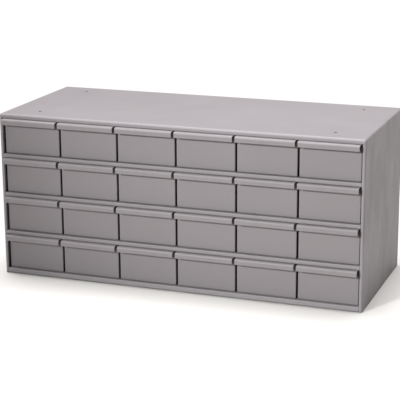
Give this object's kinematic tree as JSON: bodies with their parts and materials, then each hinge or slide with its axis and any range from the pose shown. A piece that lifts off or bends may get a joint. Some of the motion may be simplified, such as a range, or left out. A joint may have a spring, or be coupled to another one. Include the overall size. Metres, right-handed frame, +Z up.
{
  "type": "parts bin cabinet",
  "caption": "Free-standing sheet-steel cabinet with rows of small sliding drawers, each with a full-width rolled pull, and bolt holes in its top and bottom.",
  "frame": {"origin": "on the floor, below the middle of the overall box with the drawers shut", "axes": "+X to the right of someone facing the drawers, +Y to the rear, +Z up"},
  "size_m": [0.857, 0.368, 0.381],
  "materials": {
    "casing_enamel": "satin baked enamel on folded steel sheet",
    "front_enamel": "satin baked enamel",
    "tray_enamel": "satin baked enamel, thinner inside",
    "inner_enamel": "satin baked enamel"
  },
  "bodies": {
    "cabinet": {"casing": "casing_enamel", "back_panel": "inner_enamel", "bottom_panel": "inner_enamel", "shelf_1": "inner_enamel", "shelf_2": "inner_enamel", "shelf_3": "inner_enamel", "upright_1": "inner_enamel", "upright_2": "inner_enamel", "upright_3": "inner_enamel", "upright_4": "inner_enamel", "upright_5": "inner_enamel"},
    "drawer_r1c1": {"drawer_r1c1_front": "front_enamel", "drawer_r1c1_tray": "tray_enamel"},
    "drawer_r1c2": {"drawer_r1c2_front": "front_enamel", "drawer_r1c2_tray": "tray_enamel"},
    "drawer_r1c3": {"drawer_r1c3_front": "front_enamel", "drawer_r1c3_tray": "tray_enamel"},
    "drawer_r1c4": {"drawer_r1c4_front": "front_enamel", "drawer_r1c4_tray": "tray_enamel"},
    "drawer_r1c5": {"drawer_r1c5_front": "front_enamel", "drawer_r1c5_tray": "tray_enamel"},
    "drawer_r1c6": {"drawer_r1c6_front": "front_enamel", "drawer_r1c6_tray": "tray_enamel"},
    "drawer_r2c1": {"drawer_r2c1_front": "front_enamel", "drawer_r2c1_tray": "tray_enamel"},
    "drawer_r2c2": {"drawer_r2c2_front": "front_enamel", "drawer_r2c2_tray": "tray_enamel"},
    "drawer_r2c3": {"drawer_r2c3_front": "front_enamel", "drawer_r2c3_tray": "tray_enamel"},
    "drawer_r2c4": {"drawer_r2c4_front": "front_enamel", "drawer_r2c4_tray": "tray_enamel"},
    "drawer_r2c5": {"drawer_r2c5_front": "front_enamel", "drawer_r2c5_tray": "tray_enamel"},
    "drawer_r2c6": {"drawer_r2c6_front": "front_enamel", "drawer_r2c6_tray": "tray_enamel"},
    "drawer_r3c1": {"drawer_r3c1_front": "front_enamel", "drawer_r3c1_tray": "tray_enamel"},
    "drawer_r3c2": {"drawer_r3c2_front": "front_enamel", "drawer_r3c2_tray": "tray_enamel"},
    "drawer_r3c3": {"drawer_r3c3_front": "front_enamel", "drawer_r3c3_tray": "tray_enamel"},
    "drawer_r3c4": {"drawer_r3c4_front": "front_enamel", "drawer_r3c4_tray": "tray_enamel"},
    "drawer_r3c5": {"drawer_r3c5_front": "front_enamel", "drawer_r3c5_tray": "tray_enamel"},
    "drawer_r3c6": {"drawer_r3c6_front": "front_enamel", "drawer_r3c6_tray": "tray_enamel"},
    "drawer_r4c1": {"drawer_r4c1_front": "front_enamel", "drawer_r4c1_tray": "tray_enamel"},
    "drawer_r4c2": {"drawer_r4c2_front": "front_enamel", "drawer_r4c2_tray": "tray_enamel"},
    "drawer_r4c3": {"drawer_r4c3_front": "front_enamel", "drawer_r4c3_tray": "tray_enamel"},
    "drawer_r4c4": {"drawer_r4c4_front": "front_enamel", "drawer_r4c4_tray": "tray_enamel"},
    "drawer_r4c5": {"drawer_r4c5_front": "front_enamel", "drawer_r4c5_tray": "tray_enamel"},
    "drawer_r4c6": {"drawer_r4c6_front": "front_enamel", "drawer_r4c6_tray": "tray_enamel"}
  },
  "joints": [
    {"name": "slide_r1c1", "type": "slide", "parent": "cabinet", "child": "drawer_r1c1", "axis": [0, -1, 0], "range_m": [0, 0.3436]},
    {"name": "slide_r1c2", "type": "slide", "parent": "cabinet", "child": "drawer_r1c2", "axis": [0, -1, 0], "range_m": [0, 0.3436]},
    {"name": "slide_r1c3", "type": "slide", "parent": "cabinet", "child": "drawer_r1c3", "axis": [0, -1, 0], "range_m": [0, 0.3436]},
    {"name": "slide_r1c4", "type": "slide", "parent": "cabinet", "child": "drawer_r1c4", "axis": [0, -1, 0], "range_m": [0, 0.3436]},
    {"name": "slide_r1c5", "type": "slide", "parent": "cabinet", "child": "drawer_r1c5", "axis": [0, -1, 0], "range_m": [0, 0.3436]},
    {"name": "slide_r1c6", "type": "slide", "parent": "cabinet", "child": "drawer_r1c6", "axis": [0, -1, 0], "range_m": [0, 0.3436]},
    {"name": "slide_r2c1", "type": "slide", "parent": "cabinet", "child": "drawer_r2c1", "axis": [0, -1, 0], "range_m": [0, 0.3436]},
    {"name": "slide_r2c2", "type": "slide", "parent": "cabinet", "child": "drawer_r2c2", "axis": [0, -1, 0], "range_m": [0, 0.3436]},
    {"name": "slide_r2c3", "type": "slide", "parent": "cabinet", "child": "drawer_r2c3", "axis": [0, -1, 0], "range_m": [0, 0.3436]},
    {"name": "slide_r2c4", "type": "slide", "parent": "cabinet", "child": "drawer_r2c4", "axis": [0, -1, 0], "range_m": [0, 0.3436]},
    {"name": "slide_r2c5", "type": "slide", "parent": "cabinet", "child": "drawer_r2c5", "axis": [0, -1, 0], "range_m": [0, 0.3436]},
    {"name": "slide_r2c6", "type": "slide", "parent": "cabinet", "child": "drawer_r2c6", "axis": [0, -1, 0], "range_m": [0, 0.3436]},
    {"name": "slide_r3c1", "type": "slide", "parent": "cabinet", "child": "drawer_r3c1", "axis": [0, -1, 0], "range_m": [0, 0.3436]},
    {"name": "slide_r3c2", "type": "slide", "parent": "cabinet", "child": "drawer_r3c2", "axis": [0, -1, 0], "range_m": [0, 0.3436]},
    {"name": "slide_r3c3", "type": "slide", "parent": "cabinet", "child": "drawer_r3c3", "axis": [0, -1, 0], "range_m": [0, 0.3436]},
    {"name": "slide_r3c4", "type": "slide", "parent": "cabinet", "child": "drawer_r3c4", "axis": [0, -1, 0], "range_m": [0, 0.3436]},
    {"name": "slide_r3c5", "type": "slide", "parent": "cabinet", "child": "drawer_r3c5", "axis": [0, -1, 0], "range_m": [0, 0.3436]},
    {"name": "slide_r3c6", "type": "slide", "parent": "cabinet", "child": "drawer_r3c6", "axis": [0, -1, 0], "range_m": [0, 0.3436]},
    {"name": "slide_r4c1", "type": "slide", "parent": "cabinet", "child": "drawer_r4c1", "axis": [0, -1, 0], "range_m": [0, 0.3436]},
    {"name": "slide_r4c2", "type": "slide", "parent": "cabinet", "child": "drawer_r4c2", "axis": [0, -1, 0], "range_m": [0, 0.3436]},
    {"name": "slide_r4c3", "type": "slide", "parent": "cabinet", "child": "drawer_r4c3", "axis": [0, -1, 0], "range_m": [0, 0.3436]},
    {"name": "slide_r4c4", "type": "slide", "parent": "cabinet", "child": "drawer_r4c4", "axis": [0, -1, 0], "range_m": [0, 0.3436]},
    {"name": "slide_r4c5", "type": "slide", "parent": "cabinet", "child": "drawer_r4c5", "axis": [0, -1, 0], "range_m": [0, 0.3436]},
    {"name": "slide_r4c6", "type": "slide", "parent": "cabinet", "child": "drawer_r4c6", "axis": [0, -1, 0], "range_m": [0, 0.3436]}
  ]
}
